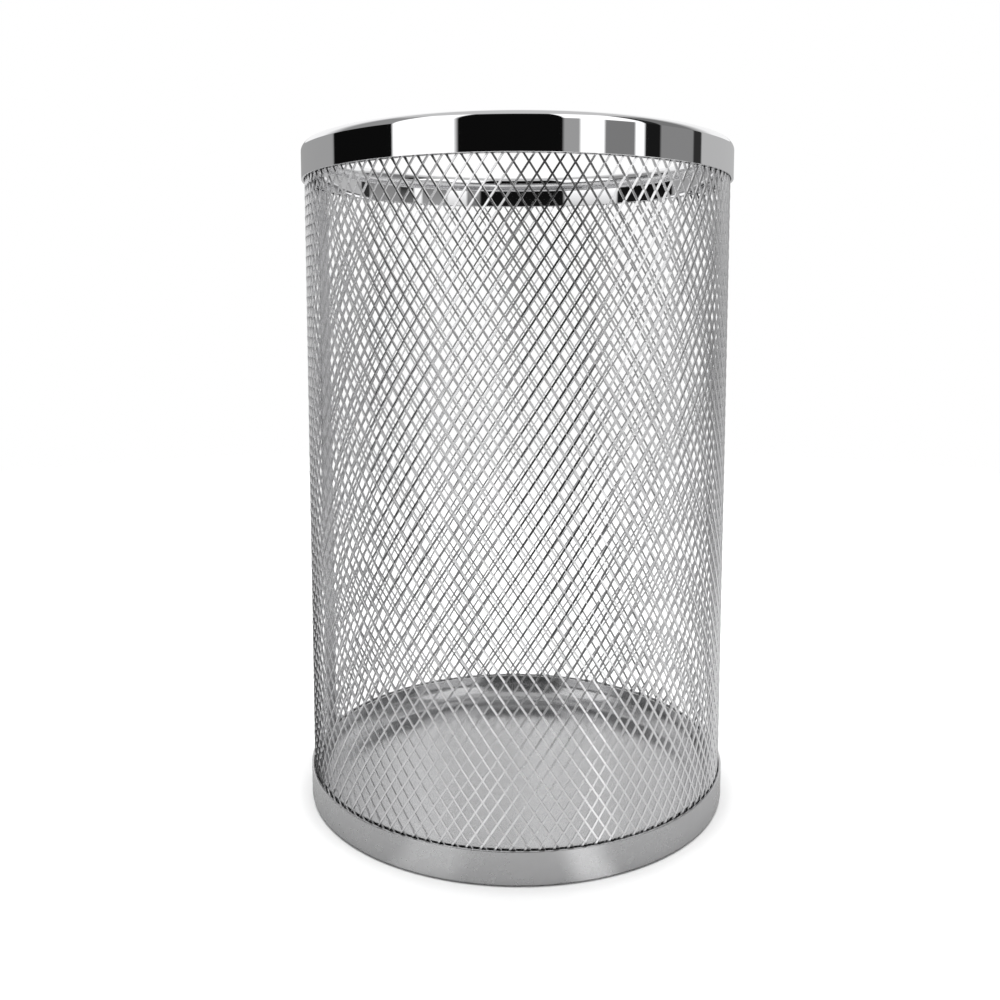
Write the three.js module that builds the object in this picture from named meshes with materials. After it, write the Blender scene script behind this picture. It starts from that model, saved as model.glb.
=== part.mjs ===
// A round mesh pen cup: a sleeve of expanded metal between a chromed, wired rim and a pressed base.
// Millimetres, +Z up. The origin is the centre of the ring that the cup stands on.
// Every ring is a lathe of its own section, and a sheet-metal section is a midline with a thickness.

import * as THREE from 'three';

// Driving dimensions.
const CUP_HEIGHT = 100;
const SLEEVE_RADIUS = 32.3; // outside of the mesh
const SLEEVE_THICKNESS = 0.5; // over the raised strands of the mesh
const SHEET = 0.35; // steel strip of the rim, the base band and the tray
const CLEARANCE = 0.03; // between pieces that are pressed or clamped together
const DIAMOND_COLUMNS = 104; // diamonds of the mesh around the sleeve
const FLATS = DIAMOND_COLUMNS / 2; // flats around each ring, one for every two columns of diamonds
const ARC_STEPS = 3; // half the steps along each bend of a section

// Rim: an outer leg, a bead rolled round a wire, a neck and an inner leg.
const RIM_HEIGHT = 5.2;
const BEAD_RADIUS = 1.1; // outside of the rolled bead
const BEAD_WRAP = THREE.MathUtils.degToRad(60); // how far the sheet curls on under the bead
const NECK_DROP = 0.5; // height over which the neck closes onto the mesh
const WIRE_SIDES = 8;

// Base: an outer band with a lip turned in, and a tray with a wide corner.
const BAND_HEIGHT = 4.9;
const BAND_CORNER = 0.6; // outside radius at the foot of the band
const LIP_INNER_RADIUS = 29.2;
const TRAY_CORNER = 3.2; // inside radius between the tray's wall and its floor

// Seam: a strip inside the sleeve that its two cut edges are welded to.
const SEAM_THICKNESS = 0.3;
const SEAM_END_GAP = 0.25; // from the strip's ends to the rim and to the tray
const SEAM_AZIMUTH = THREE.MathUtils.degToRad(-100); // seen from the front, just behind the left side

// Worked-out radii and heights.
const RING_OUTER_RADIUS = SLEEVE_RADIUS + CLEARANCE + SHEET;
const OUTER_MIDLINE = RING_OUTER_RADIUS - SHEET / 2;
const SLEEVE_INNER_RADIUS = SLEEVE_RADIUS - SLEEVE_THICKNESS;
const INNER_MIDLINE = SLEEVE_INNER_RADIUS - CLEARANCE - SHEET / 2;
const RIM_BOTTOM = CUP_HEIGHT - RIM_HEIGHT;
const BEAD_CENTRE = new THREE.Vector2(RING_OUTER_RADIUS - BEAD_RADIUS, CUP_HEIGHT - BEAD_RADIUS);
const WIRE_RADIUS = BEAD_RADIUS - SHEET - 2 * CLEARANCE;
const SLEEVE_TOP = BEAD_CENTRE.y - BEAD_RADIUS + SHEET;
const TRAY_UNDERSIDE = SHEET + CLEARANCE;
const SLEEVE_BOTTOM = TRAY_UNDERSIDE + BAND_CORNER;

// Finishes.
const chrome = new THREE.MeshStandardMaterial({ color: 0xd6d7d9, roughness: 0.04, metalness: 1 });
const galvanised = new THREE.MeshStandardMaterial({ color: 0x9da0a3, roughness: 0.45, metalness: 1 });
const platedMesh = new THREE.MeshStandardMaterial({ color: 0xc4c5c7, roughness: 0.22, metalness: 1 });
const silverLacquer = new THREE.MeshStandardMaterial({ color: 0xa9aaab, roughness: 0.38, metalness: 0.8 });

// The outline of a sheet along a midline, out along one side and back along the other, mitred at the bends.
function sheetOutline(midline, thickness) {
  const sides = [1, -1].map((side) =>
    midline.map((point, i) => {
      const before = midline[Math.max(i - 1, 0)];
      const after = midline[Math.min(i + 1, midline.length - 1)];
      const into = point.clone().sub(before).normalize();
      const out = after.clone().sub(point).normalize();
      const along = into.clone().add(out).normalize();
      const offset = (side * thickness) / 2 / Math.max(along.dot(into), along.dot(out));
      return new THREE.Vector2(along.y, -along.x).multiplyScalar(offset).add(point);
    }),
  );
  return [...sides[0], ...sides[1].reverse()];
}

// A midline as points, without the doubles that a path leaves where a line meets an arc.
function pointsOf(path) {
  return path.getPoints(ARC_STEPS).filter((p, i, all) => i === 0 || p.distanceTo(all[i - 1]) > 1e-4);
}

// A solid of revolution about +Z from an outline of (radius, height) points.
function revolved(outline) {
  return new THREE.LatheGeometry(outline, FLATS).rotateX(Math.PI / 2);
}

// A ring: an outline that closes on itself, clear of the axis.
function ring(outline) {
  return revolved([...outline, outline[0]]);
}

// The rim's midline: up the outer leg, over and under the bead, in through the neck, down the inner leg.
function rimMidline() {
  const beadMidline = BEAD_RADIUS - SHEET / 2;
  const wrapEnd = Math.PI + BEAD_WRAP;
  const curlFoot = BEAD_CENTRE.y + beadMidline * Math.sin(wrapEnd);
  return new THREE.Path()
    .moveTo(OUTER_MIDLINE, RIM_BOTTOM)
    .lineTo(OUTER_MIDLINE, BEAD_CENTRE.y)
    .absarc(BEAD_CENTRE.x, BEAD_CENTRE.y, beadMidline, 0, Math.PI)
    .absarc(BEAD_CENTRE.x, BEAD_CENTRE.y, beadMidline, Math.PI, wrapEnd)
    .lineTo(INNER_MIDLINE, curlFoot - NECK_DROP)
    .lineTo(INNER_MIDLINE, RIM_BOTTOM);
}

// The base band's midline: in from the lip's edge, round the foot and up the outside of the sleeve.
function bandMidline() {
  const corner = BAND_CORNER - SHEET / 2;
  return new THREE.Path()
    .moveTo(LIP_INNER_RADIUS, SHEET / 2)
    .lineTo(OUTER_MIDLINE - corner, SHEET / 2)
    .absarc(OUTER_MIDLINE - corner, SHEET / 2 + corner, corner, -Math.PI / 2, 0)
    .lineTo(OUTER_MIDLINE, BAND_HEIGHT);
}

// The tray's midline: out from the axis, round the wide corner and up the inside of the sleeve.
function trayMidline() {
  const corner = TRAY_CORNER + SHEET / 2;
  const floorMidline = TRAY_UNDERSIDE + SHEET / 2;
  return new THREE.Path()
    .moveTo(0, floorMidline)
    .lineTo(INNER_MIDLINE - corner, floorMidline)
    .absarc(INNER_MIDLINE - corner, floorMidline + corner, corner, -Math.PI / 2, 0)
    .lineTo(INNER_MIDLINE, BAND_HEIGHT);
}

function sleeveMidline() {
  const middle = SLEEVE_RADIUS - SLEEVE_THICKNESS / 2;
  return [new THREE.Vector2(middle, SLEEVE_BOTTOM), new THREE.Vector2(middle, SLEEVE_TOP)];
}

// A strip as wide as one of the sleeve's flats, lying against its inner face.
function seamStripGeometry() {
  const flat = (2 * Math.PI) / FLATS;
  const from = Math.floor(SEAM_AZIMUTH / flat) * flat;
  const corner = (radius, angle) => new THREE.Vector2(radius * Math.sin(angle), -radius * Math.cos(angle));
  const outer = SLEEVE_INNER_RADIUS - CLEARANCE;
  const inner = outer - SEAM_THICKNESS;
  const outline = [
    corner(outer, from),
    corner(outer, from + flat),
    corner(inner, from + flat),
    corner(inner, from),
  ];
  const bottom = BAND_HEIGHT + SEAM_END_GAP;
  const depth = RIM_BOTTOM - SEAM_END_GAP - bottom;
  const extruded = new THREE.ExtrudeGeometry(new THREE.Shape(outline), { depth, bevelEnabled: false });
  return extruded.translate(0, 0, bottom);
}

function piece(name, geometry, material) {
  const mesh = new THREE.Mesh(geometry, material);
  mesh.name = name;
  return mesh;
}

function buildRim() {
  const wire = new THREE.TorusGeometry(BEAD_CENTRE.x, WIRE_RADIUS, WIRE_SIDES, FLATS);
  const hoop = piece('rim_hoop_wire', wire, galvanised);
  hoop.position.z = BEAD_CENTRE.y;
  const cover = piece('rim_cover', ring(sheetOutline(pointsOf(rimMidline()), SHEET)), chrome);
  return new THREE.Group().add(cover, hoop);
}

function buildSleeve() {
  const sleeve = piece('mesh_sleeve', ring(sheetOutline(sleeveMidline(), SLEEVE_THICKNESS)), platedMesh);
  const strip = piece('mesh_seam_strip', seamStripGeometry(), platedMesh);
  return new THREE.Group().add(sleeve, strip);
}

function buildBase() {
  const band = piece('base_band', ring(sheetOutline(pointsOf(bandMidline()), SHEET)), silverLacquer);
  const tray = piece('floor_tray', revolved(sheetOutline(pointsOf(trayMidline()), SHEET)), silverLacquer);
  return new THREE.Group().add(band, tray);
}

const cup = new THREE.Group().add(buildRim(), buildSleeve(), buildBase());

export default cup;
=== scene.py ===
"""The looks of a round mesh pen cup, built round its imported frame.

A chromed rim with a rolled bead clamps the top of an expanded-metal wall, and a satin base band and
a pressed tray clamp its foot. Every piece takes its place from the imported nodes. Lengths are in
metres.
"""

import logging
import math
from dataclasses import dataclass, field
from enum import Enum

import bmesh
import bpy
from mathutils import Matrix, Vector


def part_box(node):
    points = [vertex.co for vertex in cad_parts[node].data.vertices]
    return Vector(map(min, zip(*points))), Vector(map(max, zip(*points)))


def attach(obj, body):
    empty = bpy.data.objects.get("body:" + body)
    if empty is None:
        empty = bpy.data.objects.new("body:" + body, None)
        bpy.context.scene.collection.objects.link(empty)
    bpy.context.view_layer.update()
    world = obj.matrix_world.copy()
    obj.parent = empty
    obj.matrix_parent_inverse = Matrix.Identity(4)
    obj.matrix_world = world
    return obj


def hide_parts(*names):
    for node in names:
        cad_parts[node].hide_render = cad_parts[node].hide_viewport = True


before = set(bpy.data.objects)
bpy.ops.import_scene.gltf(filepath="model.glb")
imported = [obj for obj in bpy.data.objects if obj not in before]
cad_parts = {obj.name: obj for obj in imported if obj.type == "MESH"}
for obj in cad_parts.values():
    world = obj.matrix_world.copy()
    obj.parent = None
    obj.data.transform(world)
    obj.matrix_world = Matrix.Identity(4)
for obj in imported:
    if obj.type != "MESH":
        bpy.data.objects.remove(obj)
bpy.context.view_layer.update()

LOG = logging.getLogger("pen_cup")
MM = 0.001
AXIS = Vector((0.0, 0.0, 1.0))
CENTRE = Vector((0.0, 0.0, 0.0))
SAME_PLACE = 0.0001 * MM  # points closer than this are one point


class Slot(Enum):
    """The record's material slots."""

    RIM_CHROME = "rim_chrome"
    HOOP_WIRE = "hoop_wire"
    MESH_STEEL = "mesh_steel"
    BASE_SILVER = "base_silver"


class Socket(Enum):
    """The kinds of socket that a shared effect has."""

    VALUE = "NodeSocketFloat"
    VECTOR = "NodeSocketVector"


# Node trees ---------------------------------------------------------------------------------------


class Wiring:
    """A node tree with short ways to add, set and join its nodes."""

    def __init__(self, tree: bpy.types.NodeTree) -> None:
        """Start on an empty tree.

        Args:
            tree: The tree, whose nodes are cleared.
        """
        self.tree = tree
        tree.nodes.clear()

    def add(self, kind: str, inputs: dict | None = None, **settings: object) -> bpy.types.Node:
        """Add a node.

        Args:
            kind: The node's type without its ShaderNode prefix, such as "TexNoise".
            inputs: A value or another node's output for each input, by the input's name or number.
            settings: The node's own properties.

        Returns:
            The new node.
        """
        prefix = "" if kind.startswith("Node") else "ShaderNode"
        node = self.tree.nodes.new(prefix + kind)
        for name, value in settings.items():
            setattr(node, name, value)
        for name, value in (inputs or {}).items():
            if isinstance(value, bpy.types.NodeSocket):
                self.tree.links.new(value, node.inputs[name])
            else:
                node.inputs[name].default_value = value
        return node

    def math(self, operation: str, *values: object) -> bpy.types.NodeSocket:
        """Add a Math node on up to three values or outputs, and return its output."""
        return self.add("Math", dict(enumerate(values)), operation=operation).outputs[0]

    def remap(self, value: bpy.types.NodeSocket, low: float, high: float) -> bpy.types.NodeSocket:
        """Spread a 0 to 1 value over low to high, and return the output."""
        return self.add("MapRange", {"Value": value, "To Min": low, "To Max": high}).outputs[0]


def effect_group(name: str, inputs: dict[str, tuple[Socket, float]], outputs: list[str]) -> Wiring:
    """Start a shader node group for an effect that several finishes share.

    Args:
        name: The group's name.
        inputs: Each input's kind and default. A vector's default is left at zero.
        outputs: The names of the outputs, which are all single values.

    Returns:
        The group's wiring, with nodes labelled "in" and "out" for its inputs and outputs.
    """
    tree = bpy.data.node_groups.new(name, "ShaderNodeTree")
    for socket_name, (kind, default) in inputs.items():
        socket = tree.interface.new_socket(socket_name, in_out="INPUT", socket_type=kind.value)
        if kind is Socket.VALUE:
            socket.default_value = default
    for socket_name in outputs:
        tree.interface.new_socket(socket_name, in_out="OUTPUT", socket_type=Socket.VALUE.value)
    wiring = Wiring(tree)
    wiring.add("NodeGroupInput", name="in")
    wiring.add("NodeGroupOutput", name="out")
    return wiring


@dataclass
class Effects:
    """The shared effects: node groups, built once and placed in every finish with its own values."""

    broad_over_fine: float = 14.0  # how many times broader the unevenness is than the pits
    smudge_from: float = 0.52  # the level of the clouds where a smudge starts to show
    smudge_full: float = 0.78  # the level where it shows in full
    rubs_per_metre: float = 9000.0  # how closely the rubs lie up the cup
    grain: bpy.types.NodeTree = field(init=False)
    handling: bpy.types.NodeTree = field(init=False)

    def __post_init__(self) -> None:
        """Build the groups."""
        self.grain = self.build_grain()
        self.handling = self.build_handling()

    def build_grain(self) -> bpy.types.NodeTree:
        """Build fine surface grain: small pits on broader unevenness. Returns the group."""
        inputs = {
            "Vector": (Socket.VECTOR, 0.0),
            "Size": (Socket.VALUE, 0.2 * MM),
            "Unevenness": (Socket.VALUE, 0.3),
        }
        wiring = effect_group("surface_grain", inputs, ["Height", "Tone"])
        source = wiring.tree.nodes["in"].outputs
        scale = wiring.math("DIVIDE", 1.0, source["Size"])
        fine = wiring.add("TexNoise", {"Vector": source["Vector"], "Scale": scale, "Detail": 2.0})
        broad_scale = wiring.math("DIVIDE", scale, self.broad_over_fine)
        broad = wiring.add("TexNoise", {"Vector": source["Vector"], "Scale": broad_scale, "Detail": 3.0})
        share = source["Unevenness"]
        height = wiring.add("Mix", {"Factor": share, "A": fine.outputs[0], "B": broad.outputs[0]}).outputs[0]
        sink = wiring.tree.nodes["out"].inputs
        wiring.tree.links.new(height, sink["Height"])
        wiring.tree.links.new(broad.outputs[0], sink["Tone"])
        return wiring.tree

    def build_handling(self) -> bpy.types.NodeTree:
        """Build marks of handling: soft smudges, and fine rubs round the cup. Returns the group."""
        inputs = {
            "Vector": (Socket.VECTOR, 0.0),
            "Smudge size": (Socket.VALUE, 12 * MM),
            "Rubs": (Socket.VALUE, 0.3),
        }
        wiring = effect_group("handling_marks", inputs, ["Smudge", "Rub"])
        source = wiring.tree.nodes["in"].outputs
        smudge_scale = wiring.math("DIVIDE", 1.0, source["Smudge size"])
        clouds = wiring.add("TexNoise", {"Vector": source["Vector"], "Scale": smudge_scale, "Detail": 4.0})
        shown = {"Value": clouds.outputs[0], "From Min": self.smudge_from, "From Max": self.smudge_full}
        smudge = wiring.add("MapRange", shown)
        place = wiring.add("SeparateXYZ", {0: source["Vector"]}).outputs
        radius = wiring.add("VectorMath", {0: source["Vector"]}, operation="LENGTH").outputs["Value"]
        climb = wiring.math("MULTIPLY", place[2], self.rubs_per_metre)
        lines = wiring.add("CombineXYZ", {0: climb, 1: radius})
        rub = wiring.add("TexNoise", {"Vector": lines.outputs[0], "Scale": 1.0, "Detail": 2.0})
        rub_share = wiring.math("MULTIPLY", rub.outputs[0], source["Rubs"])
        sink = wiring.tree.nodes["out"].inputs
        wiring.tree.links.new(smudge.outputs[0], sink["Smudge"])
        wiring.tree.links.new(rub_share, sink["Rub"])
        return wiring.tree


# Finishes -----------------------------------------------------------------------------------------


@dataclass(frozen=True)
class MetalFinish:
    """A metal surface whose colour, gloss and relief vary a little from place to place."""

    name: str
    slot: Slot
    tone: tuple[float, float]  # grey level, from its darker to its lighter places
    warmth: float  # blue over red, 1 for neutral
    roughness: tuple[float, float]
    grain_size: float
    grain_depth: float
    unevenness: float
    smudge_size: float
    smudge_roughness: float
    rubs: float

    def material(self, effects: Effects) -> bpy.types.Material:
        """Build the finish's material.

        Args:
            effects: The shared effects.

        Returns:
            The material.
        """
        made = bpy.data.materials.new(self.name)
        made.use_nodes = True
        wiring = Wiring(made.node_tree)
        place = wiring.add("TexCoord").outputs["Object"]
        grain = wiring.add("Group", node_tree=effects.grain)
        marks = wiring.add("Group", node_tree=effects.handling)
        for group in (grain, marks):
            wiring.tree.links.new(place, group.inputs["Vector"])
        grain.inputs["Size"].default_value = self.grain_size
        grain.inputs["Unevenness"].default_value = self.unevenness
        marks.inputs["Smudge size"].default_value = self.smudge_size
        marks.inputs["Rubs"].default_value = self.rubs
        level = wiring.remap(grain.outputs["Tone"], *self.tone)
        blue = wiring.math("MULTIPLY", level, self.warmth)
        colour = wiring.add("CombineColor", {0: level, 1: level, 2: blue})
        rough = wiring.remap(grain.outputs["Tone"], *self.roughness)
        smudged = wiring.math("MULTIPLY_ADD", marks.outputs["Smudge"], self.smudge_roughness, rough)
        relief = wiring.math("ADD", grain.outputs["Height"], marks.outputs["Rub"])
        bump = wiring.add("Bump", {"Height": relief, "Distance": self.grain_depth, "Strength": 1.0})
        shader = wiring.add(
            "BsdfPrincipled",
            {
                "Base Color": colour.outputs[0],
                "Metallic": 1.0,
                "Roughness": smudged,
                "Normal": bump.outputs[0],
            },
        )
        wiring.add("OutputMaterial", {"Surface": shader.outputs[0]})
        return made


CHROME = MetalFinish(
    name="polished_chrome",
    slot=Slot.RIM_CHROME,
    tone=(0.86, 0.90),
    warmth=1.01,
    roughness=(0.015, 0.035),
    grain_size=0.9 * MM,
    grain_depth=0.0004 * MM,
    unevenness=0.7,
    smudge_size=9 * MM,
    smudge_roughness=0.03,
    rubs=0.05,
)
GALVANISED = MetalFinish(
    name="galvanised_wire",
    slot=Slot.HOOP_WIRE,
    tone=(0.42, 0.62),
    warmth=1.03,
    roughness=(0.38, 0.55),
    grain_size=0.25 * MM,
    grain_depth=0.01 * MM,
    unevenness=0.4,
    smudge_size=4 * MM,
    smudge_roughness=0.08,
    rubs=0.2,
)
PLATED_MESH = MetalFinish(
    name="plated_mesh",
    slot=Slot.MESH_STEEL,
    tone=(0.72, 0.84),
    warmth=1.01,
    roughness=(0.18, 0.3),
    grain_size=0.11 * MM,
    grain_depth=0.004 * MM,
    unevenness=0.35,
    smudge_size=14 * MM,
    smudge_roughness=0.08,
    rubs=0.0,
)
SATIN_SILVER = MetalFinish(
    name="satin_silver_lacquer",
    slot=Slot.BASE_SILVER,
    tone=(0.52, 0.57),
    warmth=1.01,
    roughness=(0.24, 0.3),
    grain_size=0.09 * MM,
    grain_depth=0.0012 * MM,
    unevenness=0.25,
    smudge_size=18 * MM,
    smudge_roughness=0.05,
    rubs=0.1,
)
BRIGHT_SILVER = MetalFinish(
    name="bright_silver_tray",
    slot=Slot.BASE_SILVER,
    tone=(0.55, 0.62),
    warmth=1.01,
    roughness=(0.15, 0.2),
    grain_size=0.12 * MM,
    grain_depth=0.0008 * MM,
    unevenness=0.4,
    smudge_size=15 * MM,
    smudge_roughness=0.06,
    rubs=0.0,
)


# Sheet metal --------------------------------------------------------------------------------------


class SheetSection:
    """The skin of a sheet-metal section, drawn in the XZ plane by runs and bends, then spun round.

    The sheet lies to the left of the way that the skin is drawn.
    """

    def __init__(self, radius: float, height: float, heading: float) -> None:
        """Start the skin.

        Args:
            radius: Where it starts, from the cup's axis.
            height: Where it starts, above the desk.
            heading: The way that it starts, in degrees from outwards (0) towards up (90).
        """
        self.mesh = bmesh.new()
        self.tip = self.mesh.verts.new((radius, 0.0, height))
        self.heading = math.radians(heading)

    def run(self, length: float) -> "SheetSection":
        """Draw a straight run of a length, and return the section."""
        self.tip = bmesh.ops.extrude_vert_indiv(self.mesh, verts=[self.tip])["verts"][0]
        step = Vector((math.cos(self.heading), 0.0, math.sin(self.heading))) * length
        bmesh.ops.translate(self.mesh, verts=[self.tip], vec=step)
        return self

    def flat(self, length: float, margin: float = 0.05 * MM) -> "SheetSection":
        """Draw a straight run that is shaded flat right up to the bends beside it.

        Args:
            length: The length of the run.
            margin: The length of the short step at each end, which takes up the blend into the bend.

        Returns:
            The section.
        """
        return self.run(margin).run(length - 2 * margin).run(margin)

    def bend(self, radius: float, turn: float, steps: int) -> "SheetSection":
        """Draw a bend.

        Args:
            radius: The radius of the skin along the bend.
            turn: How far it turns, in degrees, to the left if positive.
            steps: The number of edges along it.

        Returns:
            The section.
        """
        angle = math.radians(turn)
        left = Vector((-math.sin(self.heading), 0.0, math.cos(self.heading)))
        centre = self.tip.co + left * math.copysign(radius, angle)
        bent = bmesh.ops.spin(
            self.mesh, geom=[self.tip], cent=centre, axis=(0, -1, 0), angle=angle, steps=steps
        )
        self.tip = next(v for v in bent["geom_last"] if isinstance(v, bmesh.types.BMVert))
        self.heading += angle
        return self

    def spun(self, segments: int, thickness: float, joint_gap: float = 0.0) -> bmesh.types.BMesh:
        """Spin the section round the cup's axis and give the skin its thickness.

        Args:
            segments: The number of steps round.
            thickness: The thickness of the sheet.
            joint_gap: The hairline left at the butt joint, as an angle, or 0 for a ring with no joint.

        Returns:
            The closed mesh.
        """
        skin = self.mesh
        line = skin.verts[:] + skin.edges[:]
        whole = joint_gap == 0.0
        turn = math.tau - joint_gap
        bmesh.ops.spin(
            skin, geom=line, cent=CENTRE, axis=AXIS, angle=turn, steps=segments, use_merge=whole
        )
        bmesh.ops.remove_doubles(skin, verts=skin.verts[:], dist=SAME_PLACE)
        bmesh.ops.recalc_face_normals(skin, faces=skin.faces[:])
        bmesh.ops.solidify(skin, geom=skin.faces[:], thickness=thickness)
        return skin


def soften_cut_edges(mesh: bmesh.types.BMesh, width: float, sharper_than: float = 60.0) -> None:
    """Round the cut edges of a mesh.

    Args:
        mesh: The mesh.
        width: The width of the rounding.
        sharper_than: The angle between faces, in degrees, past which an edge is a cut edge.
    """
    limit = math.radians(sharper_than)
    cut = [edge for edge in mesh.edges if edge.is_manifold and edge.calc_face_angle() > limit]
    bmesh.ops.bevel(mesh, geom=cut, offset=width, segments=2, profile=0.5, affect="EDGES", material=-1)


@dataclass
class Workshop:
    """Turns finished meshes into pieces of the cup: named, dressed, and riding on its one body."""

    effects: Effects
    materials: dict[str, bpy.types.Material] = field(default_factory=dict)

    def hand_over(
        self, mesh: bmesh.types.BMesh, name: str, node: str, finish: MetalFinish, crease: float = 35.0
    ) -> bpy.types.Object:
        """Make a piece that stands for a CAD node.

        Args:
            mesh: The finished mesh, in the cup's frame. It is freed.
            name: The piece's name.
            node: The CAD node that it stands for.
            finish: The piece's finish.
            crease: The angle between faces, in degrees, past which an edge is shaded sharp.

        Returns:
            The piece.
        """
        data = bpy.data.meshes.new(name)
        mesh.to_mesh(data)
        mesh.free()
        data.shade_smooth()
        data.set_sharp_from_angle(angle=math.radians(crease))
        if finish.name not in self.materials:
            self.materials[finish.name] = finish.material(self.effects)
        data.materials.append(self.materials[finish.name])
        piece = bpy.data.objects.new(name, data)
        bpy.context.scene.collection.objects.link(piece)
        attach(piece, "root")
        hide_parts(node)
        LOG.info("%s: %d faces, stands for %s", name, len(data.polygons), node)
        return piece


# Sub-assemblies ----------------------------------------------------------------------------------


@dataclass
class Rim:
    """The chromed rim: a strip rolled over a hoop of wire, with two legs that clamp the mesh."""

    sheet: float = 0.35 * MM
    bead_radius: float = 1.1 * MM
    bead_curl: float = 60.0  # how far the bead curls on past its inner side, in degrees
    crease_radius: float = 0.3 * MM
    wire_clearance: float = 0.06 * MM
    joint_gap: float = 0.05 * MM
    joint_azimuth: float = -100.0  # seen from the front, just behind the left side, in degrees
    wire_sides: int = 20
    edge_width: float = 0.06 * MM
    segments: int = 208

    def build(self, workshop: Workshop) -> None:
        """Build both pieces."""
        self.cover(workshop)
        self.hoop(workshop)

    def cover(self, workshop: Workshop) -> bpy.types.Object:
        """Build the chromed cover: outer leg, bead, crease and inner leg. Returns the piece."""
        low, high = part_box("rim_cover")
        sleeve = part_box("mesh_sleeve")[1].x
        inner_skin = inner_leg_skin(self.sheet)
        face = high.z - self.bead_radius - low.z
        section = SheetSection(high.x, low.z, 90.0).flat(face)
        section.bend(self.bead_radius, 180.0, 24).bend(self.bead_radius, self.bead_curl, 8)
        slope = math.radians(self.bead_curl)
        reach = inner_skin - section.tip.co.x - self.crease_radius * (1 - math.cos(slope))
        section.run(reach / math.sin(slope)).bend(self.crease_radius, -self.bead_curl, 5)
        section.flat(section.tip.co.z - low.z)
        mesh = section.spun(self.segments, self.sheet, self.joint_gap / sleeve)
        soften_cut_edges(mesh, self.edge_width)
        turn = Matrix.Rotation(math.radians(self.joint_azimuth - 90.0), 3, "Z")
        bmesh.ops.rotate(mesh, cent=CENTRE, matrix=turn, verts=mesh.verts[:])
        return workshop.hand_over(mesh, "chromed_rim", "rim_cover", CHROME)

    def hoop(self, workshop: Workshop) -> bpy.types.Object:
        """Build the hoop of wire inside the bead. Returns the piece."""
        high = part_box("rim_hoop_wire")[1]
        wire = self.bead_radius - self.sheet - self.wire_clearance
        mesh = bmesh.new()
        stand = Matrix.Translation((high.x - wire, 0.0, high.z - wire)) @ Matrix.Rotation(math.pi / 2, 4, "X")
        bmesh.ops.create_circle(mesh, segments=self.wire_sides, radius=wire, matrix=stand)
        line = mesh.verts[:] + mesh.edges[:]
        bmesh.ops.spin(
            mesh, geom=line, cent=CENTRE, axis=AXIS, angle=math.tau, steps=self.segments, use_merge=True
        )
        bmesh.ops.remove_doubles(mesh, verts=mesh.verts[:], dist=SAME_PLACE)
        bmesh.ops.recalc_face_normals(mesh, faces=mesh.faces[:])
        return workshop.hand_over(mesh, "bead_hoop_wire", "rim_hoop_wire", GALVANISED)


def inner_leg_skin(sheet: float) -> float:
    """The radius of a skin that lies a sheet's thickness inside the tray's outer face."""
    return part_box("floor_tray")[1].x - sheet


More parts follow.
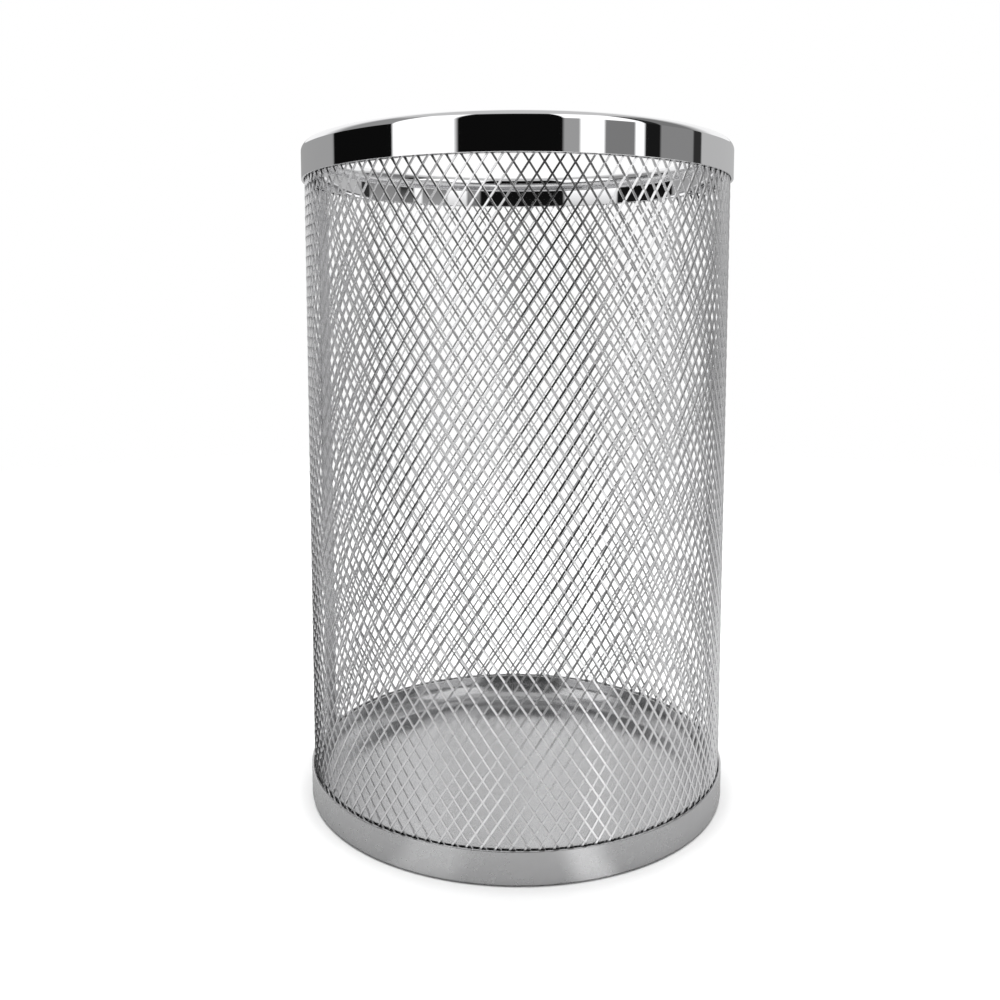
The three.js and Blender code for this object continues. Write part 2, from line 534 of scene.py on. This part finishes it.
@dataclass
class MeshWall:
    """The expanded-metal wall, and the strip behind it that its two cut edges are welded to."""

    columns: int = 104
    diamond_height: float = 2.95 * MM
    strand_half_width: float = 0.12 * MM
    opening_turn: float = 4.5  # how far stretching turns each opening about +Z, in degrees
    strand_thickness: float = 0.22 * MM
    corner_room: float = 0.11 * MM  # room outside the wall for the corners of the turned openings
    strand_crease: float = 8.0  # the angle past which a strand's edges are shaded sharp, in degrees
    strip_flats: int = 52
    strip_azimuth: float = -100.0
    strip_thickness: float = 0.3 * MM
    strip_edge: float = 0.05 * MM

    def build(self, workshop: Workshop) -> None:
        """Build both pieces."""
        self.sleeve(workshop)
        self.seam_strip(workshop)

    def sleeve(self, workshop: Workshop) -> bpy.types.Object:
        """Build the wall of diamonds. Returns the piece."""
        low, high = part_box("mesh_sleeve")
        height = high.z - low.z
        radius = high.x - self.corner_room
        mesh = bmesh.new()
        lift = Matrix.Translation((0.0, 0.0, (low.z + high.z) / 2))
        bmesh.ops.create_cone(
            mesh,
            cap_ends=False,
            segments=self.columns,
            radius1=radius,
            radius2=radius,
            depth=height,
            matrix=lift,
        )
        uprights = [edge for edge in mesh.edges if edge.verts[0].co.z != edge.verts[1].co.z]
        rows = round(height / self.diamond_height)
        bmesh.ops.subdivide_edges(mesh, edges=uprights, cuts=rows - 1, use_grid_fill=True)
        self.turn_squares_to_diamonds(mesh)
        self.open_diamonds(mesh)
        bmesh.ops.recalc_face_normals(mesh, faces=mesh.faces[:])
        bmesh.ops.solidify(mesh, geom=mesh.faces[:], thickness=self.strand_thickness)
        name = "expanded_metal_wall"
        return workshop.hand_over(mesh, name, "mesh_sleeve", PLATED_MESH, self.strand_crease)

    def turn_squares_to_diamonds(self, mesh: bmesh.types.BMesh) -> None:
        """Poke every cell of the grid and dissolve its sides, which leaves a diamond across each."""
        sides = [edge for edge in mesh.edges if len(edge.link_faces) == 2]
        bmesh.ops.poke(mesh, faces=mesh.faces[:])
        bmesh.ops.dissolve_edges(mesh, edges=sides, use_verts=False)

    def open_diamonds(self, mesh: bmesh.types.BMesh) -> None:
        """Leave a strand along every side of each diamond, and turn each opening as stretching does."""
        openings = mesh.faces[:]
        bmesh.ops.inset_individual(
            mesh, faces=openings, thickness=self.strand_half_width, depth=0.0, use_even_offset=True
        )
        turn = Matrix.Rotation(math.radians(self.opening_turn), 3, "Z")
        for opening in openings:
            middle = opening.calc_center_median()
            for corner in opening.verts:
                corner.co = middle + turn @ (corner.co - middle)
        bmesh.ops.delete(mesh, geom=openings, context="FACES_ONLY")

    def seam_strip(self, workshop: Workshop) -> bpy.types.Object:
        """Build the strip behind the seam. Returns the piece."""
        low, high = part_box("mesh_seam_strip")
        radius = inner_leg_skin(0.0)
        mesh = bmesh.new()
        foot = mesh.verts.new((radius, 0.0, low.z))
        top = bmesh.ops.extrude_vert_indiv(mesh, verts=[foot])["verts"]
        bmesh.ops.translate(mesh, verts=top, vec=AXIS * (high.z - low.z))
        flat = math.tau / self.strip_flats
        start = math.floor(math.radians(self.strip_azimuth) / flat) * flat - math.pi / 2
        bmesh.ops.rotate(mesh, cent=CENTRE, matrix=Matrix.Rotation(start, 3, "Z"), verts=mesh.verts[:])
        line = mesh.verts[:] + mesh.edges[:]
        bmesh.ops.spin(mesh, geom=line, cent=CENTRE, axis=AXIS, angle=flat, steps=5)
        bmesh.ops.recalc_face_normals(mesh, faces=mesh.faces[:])
        outward = mesh.faces[0].normal.dot(mesh.faces[0].calc_center_median()) > 0
        if not outward:
            bmesh.ops.reverse_faces(mesh, faces=mesh.faces[:])
        bmesh.ops.solidify(mesh, geom=mesh.faces[:], thickness=self.strip_thickness)
        soften_cut_edges(mesh, self.strip_edge)
        return workshop.hand_over(mesh, "seam_strip", "mesh_seam_strip", PLATED_MESH)


@dataclass
class Base:
    """The base: a band with a lip turned in under it, and a pressed tray that is the cup's floor."""

    sheet: float = 0.35 * MM
    band_corner: float = 0.6 * MM
    lip_reach: float = 3.48 * MM  # how far the lip reaches in from the band's outer face
    tray_corner: float = 3.2 * MM
    floor_shares: tuple[float, ...] = (0.1, 0.2, 0.3, 0.38, 0.02)  # the steps across the floor
    edge_width: float = 0.06 * MM
    segments: int = 208

    def build(self, workshop: Workshop) -> None:
        """Build both pieces."""
        self.band(workshop)
        self.tray(workshop)

    def band(self, workshop: Workshop) -> bpy.types.Object:
        """Build the outer band, from the edge of its lip to its top edge. Returns the piece."""
        low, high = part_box("base_band")
        section = SheetSection(high.x - self.lip_reach, low.z, 0.0).flat(self.lip_reach - self.band_corner)
        section.bend(self.band_corner, 90.0, 10)
        section.flat(high.z - section.tip.co.z)
        mesh = section.spun(self.segments, self.sheet)
        soften_cut_edges(mesh, self.edge_width)
        return workshop.hand_over(mesh, "base_band_satin", "base_band", SATIN_SILVER)

    def tray(self, workshop: Workshop) -> bpy.types.Object:
        """Build the tray, from its middle out and up its wall. Returns the piece."""
        low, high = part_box("floor_tray")
        corner = self.tray_corner + self.sheet
        floor = high.x - corner
        section = SheetSection(0.0, low.z, 0.0)
        for share in self.floor_shares:
            section.run(share * floor)
        section.bend(corner, 90.0, 20)
        section.flat(high.z - section.tip.co.z)
        mesh = section.spun(self.segments, self.sheet)
        soften_cut_edges(mesh, self.edge_width)
        return workshop.hand_over(mesh, "pressed_floor_tray", "floor_tray", BRIGHT_SILVER)


# Studio -------------------------------------------------------------------------------------------


@dataclass(frozen=True)
class Wall:
    """A stretch of the studio's surround, up to an azimuth from the front in degrees, right positive."""

    until: float
    skirt: float  # the brightness below the flags and the softboxes
    low: float  # the brightness at the height of the rim
    high: float  # the brightness over the flags


SURROUND = (
    Wall(until=-108, skirt=0.55, low=0.36, high=0.36),
    Wall(until=-65, skirt=0.02, low=0.004, high=0.3),
    Wall(until=-31, skirt=0.03, low=1.3, high=1.3),
    Wall(until=22, skirt=0.01, low=0.004, high=0.004),
    Wall(until=30, skirt=0.02, low=0.35, high=1.3),
    Wall(until=43, skirt=0.2, low=1.3, high=1.3),
    Wall(until=60, skirt=0.5, low=0.21, high=1.3),
    Wall(until=65, skirt=0.5, low=1.3, high=1.3),
    Wall(until=75, skirt=0.4, low=0.01, high=0.02),
    Wall(until=99, skirt=0.35, low=0.25, high=0.2),
    Wall(until=106, skirt=0.03, low=0.03, high=0.1),
    Wall(until=180, skirt=0.5, low=0.5, high=0.4),
)


@dataclass(frozen=True)
class PaintedFloorStretch:
    """A stretch of the floor's painted light round the cup, up to an azimuth from the front in degrees, right
    positive.
    """

    until: float
    level: float  # the painted brightness that the cup's reflections show here, darker for painted shade and lighter for painted pools of light


# Painted light: the floor's colour in the cup's reflections. A grey stands for painted shade, and brighter
# stretches are painted pools of light that give the base band its highlights and the strands their glints.
FLOOR_PAINTED_LIGHT = (
    PaintedFloorStretch(until=-33, level=0.5),
    PaintedFloorStretch(until=-16, level=0.68),
    PaintedFloorStretch(until=14, level=0.53),
    PaintedFloorStretch(until=24, level=0.92),
    PaintedFloorStretch(until=180, level=0.53),
)


@dataclass
class Studio:
    """A pale floor, a surround of pale and dark walls, an overhead softbox and the camera."""

    background: float = 1.0
    floor_size: float = 0.45
    skirt_top: tuple[float, float] = (5.0, 7.0)  # the rise from the skirt to the lower walls
    flag_top: tuple[float, float] = (12.5, 14.5)  # the rise from the lower walls to the higher
    wall_top: tuple[float, float] = (53.0, 60.0)  # the rise from the walls to the ceiling
    overhead: float = 0.6  # the brightness of the ceiling
    behind: tuple[float, float] = (0.05, 0.5)  # how far back a direction points as the backdrop fades in
    floor_white: float = 0.92
    backdrop: float = 1.0  # the brightness high on the backdrop behind the cup
    floor_edge: float = 5.0  # the blur between stretches of the floor's painted light, in degrees
    floor_fade: tuple[float, float] = (0.12, 0.4)  # radii over which the floor gives way to the background
    wall_edge: float = 0.8  # the blur of the surround's edges, in degrees
    softbox_size: float = 0.7
    softbox_height: float = 0.9
    softbox_power: float = 9.0
    lens: float = 36.08
    camera_distance: float = 0.1576
    camera_side: float = -0.00258
    camera_height: float = 0.0752
    camera_tilt: float = 5.55  # below the horizon, in degrees
    camera_shift: float = -0.09

    def build(self) -> None:
        """Build the camera, the floor and the lights."""
        self.camera()
        self.floor()
        self.surround()
        self.softbox()
        bpy.context.scene.view_settings.view_transform = "Standard"

    def camera(self) -> None:
        """Set up the camera in front of the cup, a little above its middle."""
        data = bpy.data.cameras.new("camera")
        data.lens = self.lens
        data.shift_y = self.camera_shift
        data.clip_start = 0.01
        camera = bpy.data.objects.new("camera", data)
        camera.location = (self.camera_side, -self.camera_distance, self.camera_height)
        camera.rotation_euler = (math.radians(90.0 - self.camera_tilt), 0.0, 0.0)
        bpy.context.scene.collection.objects.link(camera)
        bpy.context.scene.camera = camera

    def floor(self) -> None:
        """Lay the floor, which looks white to the camera and shows painted light in the cup's reflections: a
        grey for painted shade, with brighter stretches painted as pools of light.
        """
        mesh = bmesh.new()
        bmesh.ops.create_grid(mesh, x_segments=1, y_segments=1, size=self.floor_size)
        data = bpy.data.meshes.new("floor")
        mesh.to_mesh(data)
        mesh.free()
        floor = bpy.data.objects.new("floor", data)
        bpy.context.scene.collection.objects.link(floor)
        paper = bpy.data.materials.new("floor_painted_light")
        paper.use_nodes = True
        wiring = Wiring(paper.node_tree)
        seen = wiring.add("LightPath").outputs["Is Camera Ray"]
        white = wiring.add("BsdfDiffuse", {"Color": (self.floor_white,) * 3 + (1.0,)})
        place = wiring.add("TexCoord").outputs["Object"]
        # Painted light: the floor's brightness by azimuth, seen only in the cup's reflections.
        light = self.around(wiring, place, FLOOR_PAINTED_LIGHT, "level", self.floor_edge)
        grey = wiring.add("BsdfDiffuse", {"Color": light})
        paper_shade = wiring.add("MixShader", {0: seen, 1: grey.outputs[0], 2: white.outputs[0]})
        radius = wiring.add("VectorMath", {0: place}, operation="LENGTH").outputs["Value"]
        near, far = self.floor_fade
        fade = wiring.add("MapRange", {"Value": radius, "From Min": near, "From Max": far}).outputs[0]
        gone = wiring.add("BsdfTransparent")
        surface = wiring.add("MixShader", {0: fade, 1: paper_shade.outputs[0], 2: gone.outputs[0]})
        wiring.add("OutputMaterial", {"Surface": surface.outputs[0]})
        data.materials.append(paper)

    def surround(self) -> None:
        """Light the studio by its walls, seen only in reflections, with a plain background for the camera."""
        world = bpy.data.worlds.new("studio")
        world.use_nodes = True
        bpy.context.scene.world = world
        wiring = Wiring(world.node_tree)
        looked = wiring.add("TexCoord").outputs["Generated"]
        way = wiring.add("SeparateXYZ", {0: looked}).outputs
        skirt, low, high = (
            self.around(wiring, looked, SURROUND, level, self.wall_edge) for level in ("skirt", "low", "high")
        )
        clear = self.above(wiring, way["Z"], self.skirt_top)
        level = wiring.add("Mix", {"Factor": clear, "A": skirt, "B": low}).outputs[0]
        raised = self.above(wiring, way["Z"], self.flag_top)
        walls = wiring.add("Mix", {"Factor": raised, "A": level, "B": high}).outputs[0]
        near, far = self.behind
        behind = wiring.add("MapRange", {"Value": way["Y"], "From Min": near, "From Max": far}).outputs[0]
        glow = wiring.math("MULTIPLY", wiring.math("MULTIPLY", behind, raised), self.backdrop)
        lower = wiring.math("MAXIMUM", walls, glow)
        overhead = self.above(wiring, way["Z"], self.wall_top)
        room = wiring.add("Mix", {"Factor": overhead, "A": lower, "B": self.overhead}).outputs[0]
        lit = wiring.add("Background", {"Color": room, "Strength": 1.0})
        plain = wiring.add("Background", {"Color": (self.background,) * 3 + (1.0,), "Strength": 1.0})
        seen = wiring.add("LightPath").outputs["Is Camera Ray"]
        surface = wiring.add("MixShader", {0: seen, 1: lit.outputs[0], 2: plain.outputs[0]})
        wiring.add("OutputWorld", {"Surface": surface.outputs[0]})

    def above(
        self, wiring: Wiring, height: bpy.types.NodeSocket, span: tuple[float, float]
    ) -> bpy.types.NodeSocket:
        """Rise from 0 to 1 over a span of elevations.

        Args:
            wiring: The world's wiring.
            height: The height of the way looked, from -1 for down to 1 for up.
            span: The elevations where the rise starts and ends, in degrees.

        Returns:
            The output.
        """
        start, end = (math.sin(math.radians(elevation)) for elevation in span)
        return wiring.add("MapRange", {"Value": height, "From Min": start, "From Max": end}).outputs[0]

    def around(
        self,
        wiring: Wiring,
        place: bpy.types.NodeSocket,
        stretches: tuple[Wall, ...] | tuple[PaintedFloorStretch, ...],
        level: str,
        blur: float,
    ) -> bpy.types.NodeSocket:
        """Give each stretch of azimuths its own brightness.

        Args:
            wiring: The wiring of the world or of the floor.
            place: The place or the way looked, whose azimuth about +Z counts.
            stretches: The stretches, in order from the back, round by the left, the front and the right.
            level: The name of the stretches' field that holds their brightness.
            blur: The width over which one stretch gives way to the next, in degrees.

        Returns:
            The output.
        """
        part = wiring.add("SeparateXYZ", {0: place}).outputs
        azimuth = wiring.math("ARCTAN2", part["X"], wiring.math("MULTIPLY", part["Y"], -1.0))
        share = wiring.math("MULTIPLY_ADD", azimuth, 1 / math.tau, 0.5)
        ramp = wiring.add("ValToRGB", {"Fac": share})
        start = -180.0
        stops = []
        for stretch in stretches:
            brightness = getattr(stretch, level)
            stops += [(start + blur / 2, brightness), (stretch.until - blur / 2, brightness)]
            start = stretch.until
        elements = ramp.color_ramp.elements
        while len(elements) < len(stops):
            elements.new(0.5)
        for element, (stop, brightness) in zip(elements, stops):
            element.position = (stop + 180.0) / 360.0
            element.color = (brightness,) * 3 + (1.0,)
        return ramp.outputs[0]

    def softbox(self) -> None:
        """Hang a square softbox over the cup for the floor's even light."""
        data = bpy.data.lights.new("softbox", "AREA")
        data.size = self.softbox_size
        data.energy = self.softbox_power
        softbox = bpy.data.objects.new("softbox", data)
        softbox.location = (0.0, 0.0, self.softbox_height)
        softbox.visible_glossy = False
        bpy.context.scene.collection.objects.link(softbox)


def main() -> None:
    """Build the studio and the cup, piece by piece."""
    logging.basicConfig(level=logging.INFO, format="%(name)s %(message)s")
    Studio().build()
    workshop = Workshop(Effects())
    for sub_assembly in (Rim(), MeshWall(), Base()):
        sub_assembly.build(workshop)


if __name__ == "__main__":
    main()
